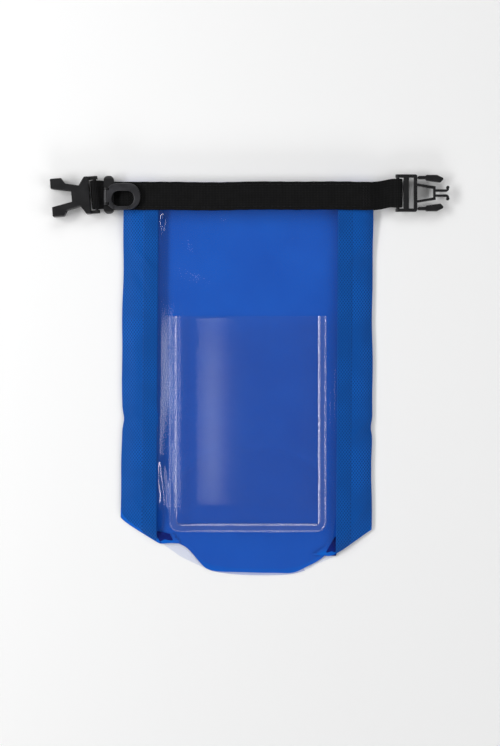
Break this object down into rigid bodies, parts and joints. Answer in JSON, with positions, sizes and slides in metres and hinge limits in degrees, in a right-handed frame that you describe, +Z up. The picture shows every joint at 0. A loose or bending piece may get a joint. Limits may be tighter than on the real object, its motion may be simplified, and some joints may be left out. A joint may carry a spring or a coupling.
{
  "type": "dry bag",
  "caption": "Flat roll-top dry bag with a blue ripstop back, clear front window and phone pocket, webbing mouth strap with side-release buckle and a small snap hook.",
  "frame": {"origin": "centre of the box round the whole part, on the surface that its back lies on", "axes": "+X across the bag towards the plug half of the buckle, +Y from the base towards the mouth, +Z up out of the clear front"},
  "size_m": [0.283, 0.2847, 0.0134],
  "materials": {
    "blue_fabric": "matte",
    "seam_tape": "satin",
    "clear_film": "gloss",
    "black_webbing": "matte",
    "black_thread": "matte",
    "black_plastic": "satin",
    "grey_plastic": "satin",
    "pin_steel": "satin",
    "stiffener_plastic": "matte"
  },
  "bodies": {
    "main": {"main_wrap": "blue_fabric", "main_window": "clear_film", "main_left_hem": "blue_fabric", "main_right_hem": "blue_fabric", "base_panel": "blue_fabric", "base_rim": "clear_film", "base_tape": "seam_tape", "pocket_panel": "clear_film", "pocket_border": "clear_film"},
    "middle_band": {"middle_wrap": "blue_fabric", "middle_window": "clear_film", "middle_left_hem": "blue_fabric", "middle_right_hem": "blue_fabric"},
    "mouth_band": {"mouth_wrap": "blue_fabric", "mouth_window": "clear_film", "mouth_left_hem": "blue_fabric", "mouth_right_hem": "blue_fabric", "mouth_strap": "black_webbing", "left_loop": "black_webbing", "right_loop": "black_webbing", "upper_stitches": "black_thread", "lower_stitches": "black_thread", "left_tack": "black_thread", "right_tack": "black_thread", "mouth_stiffener": "stiffener_plastic", "stiffener_hem": "blue_fabric", "hook_base": "black_plastic", "hook_pin": "pin_steel"},
    "female_half": {"female_buckle": "black_plastic"},
    "male_half": {"male_frame": "black_plastic"},
    "upper_latch": {"upper_latch": "black_plastic"},
    "lower_latch": {"lower_latch": "black_plastic"},
    "hook": {"hook_ring": "grey_plastic"},
    "gate": {"hook_gate": "grey_plastic"}
  },
  "joints": [
    {"name": "first_roll", "type": "hinge", "parent": "middle_band", "child": "mouth_band", "pos_m": [-0.001, 0.11095, 0.0114], "axis": [1, 0, 0], "range_deg": [0, 180]},
    {"name": "second_roll", "type": "hinge", "parent": "main", "child": "middle_band", "pos_m": [-0.001, 0.08295, 0.016], "axis": [1, 0, 0], "range_deg": [0, 180]},
    {"name": "female_swing", "type": "hinge", "parent": "mouth_band", "child": "female_half", "pos_m": [-0.1093, 0.12795, 0.0052], "axis": [-0.0785, 0.9969, 0], "range_deg": [-60, 60]},
    {"name": "male_swing", "type": "hinge", "parent": "mouth_band", "child": "male_half", "pos_m": [0.105, 0.12915, 0.0052], "axis": [0, -1, 0], "range_deg": [-60, 60]},
    {"name": "upper_press", "type": "hinge", "parent": "male_half", "child": "upper_latch", "pos_m": [0.1201, 0.14015, 0.0052], "axis": [0, 0, -1], "range_deg": [0, 7], "stiffness_Nm_per_rad": 0.02},
    {"name": "lower_press", "type": "hinge", "parent": "male_half", "child": "lower_latch", "pos_m": [0.1201, 0.11815, 0.0052], "axis": [0, 0, 1], "range_deg": [0, 7], "stiffness_Nm_per_rad": 0.02},
    {"name": "hook_swing", "type": "hinge", "parent": "mouth_band", "child": "hook", "pos_m": [-0.1015, 0.12635, 0.0116], "axis": [0, -1, 0], "range_deg": [0, 100]},
    {"name": "gate_swing", "type": "hinge", "parent": "hook", "child": "gate", "pos_m": [-0.0949, 0.1186, 0.0116], "axis": [0, 0, 1], "range_deg": [0, 30], "stiffness_Nm_per_rad": 0.01}
  ]
}
